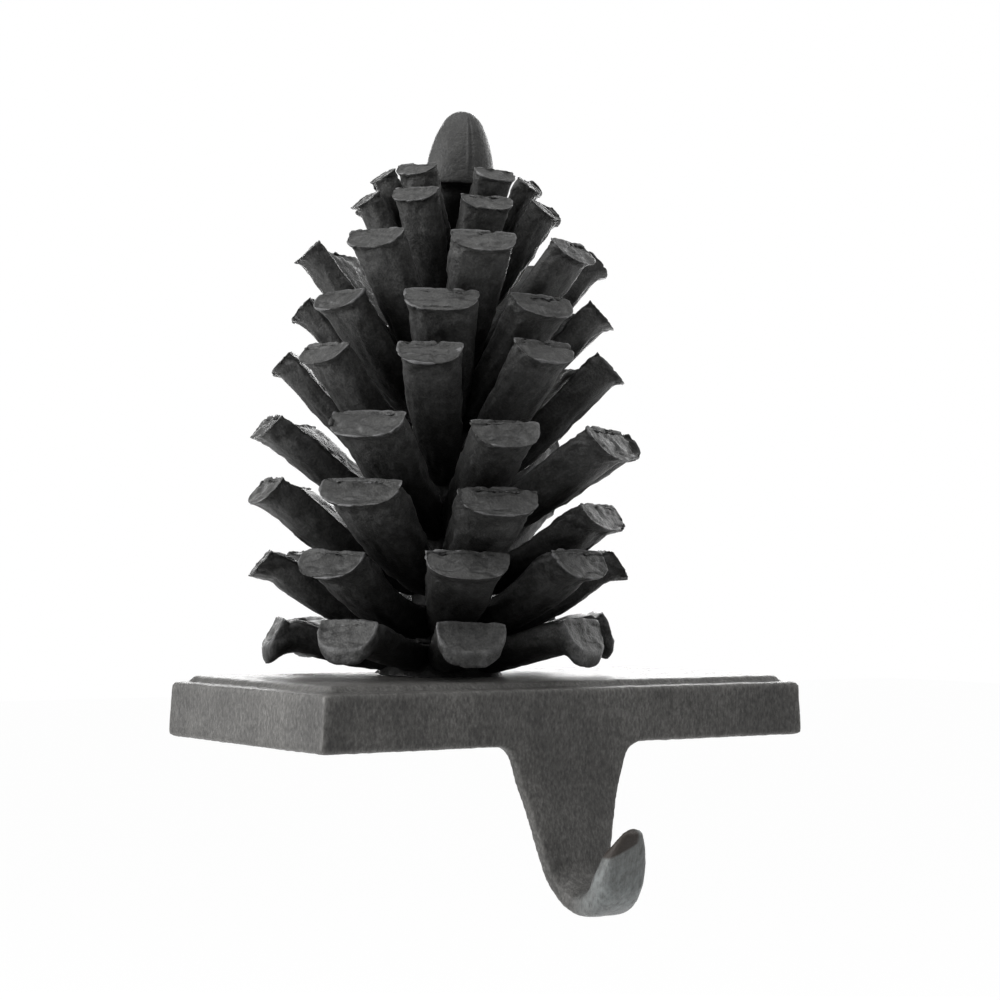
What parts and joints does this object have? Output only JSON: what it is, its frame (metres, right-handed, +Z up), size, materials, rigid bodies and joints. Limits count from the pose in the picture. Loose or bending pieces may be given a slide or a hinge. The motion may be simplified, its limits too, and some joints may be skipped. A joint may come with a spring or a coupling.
{
  "type": "stocking holder",
  "caption": "Cast-iron shelf-edge holder: a heavy foot plate that stands on the shelf, an upright pine cone of stacked scale rings, and a hook below the front edge.",
  "frame": {"origin": "middle of the foot plate's underside, on the shelf's top face", "axes": "+Z up out of the shelf, +X to the right along the plate's length, -Y to the front, where the hook hangs past the shelf's edge"},
  "size_m": [0.1398, 0.1178, 0.1943],
  "materials": {
    "grey_casting": "rough sand-cast, blackened",
    "dark_casting": "rough sand-cast, blackened",
    "nut_steel": "plain steel"
  },
  "bodies": {
    "root": {"base_bracket": "grey_casting", "scale_whorl_1": "dark_casting", "scale_whorl_2": "dark_casting", "scale_whorl_3": "dark_casting", "scale_whorl_4": "dark_casting", "scale_whorl_5": "dark_casting", "scale_whorl_6": "dark_casting", "scale_whorl_7": "dark_casting", "scale_whorl_8": "dark_casting", "scale_whorl_9": "dark_casting", "bud_bolt": "dark_casting", "rod_nut": "nut_steel"}
  },
  "joints": []
}
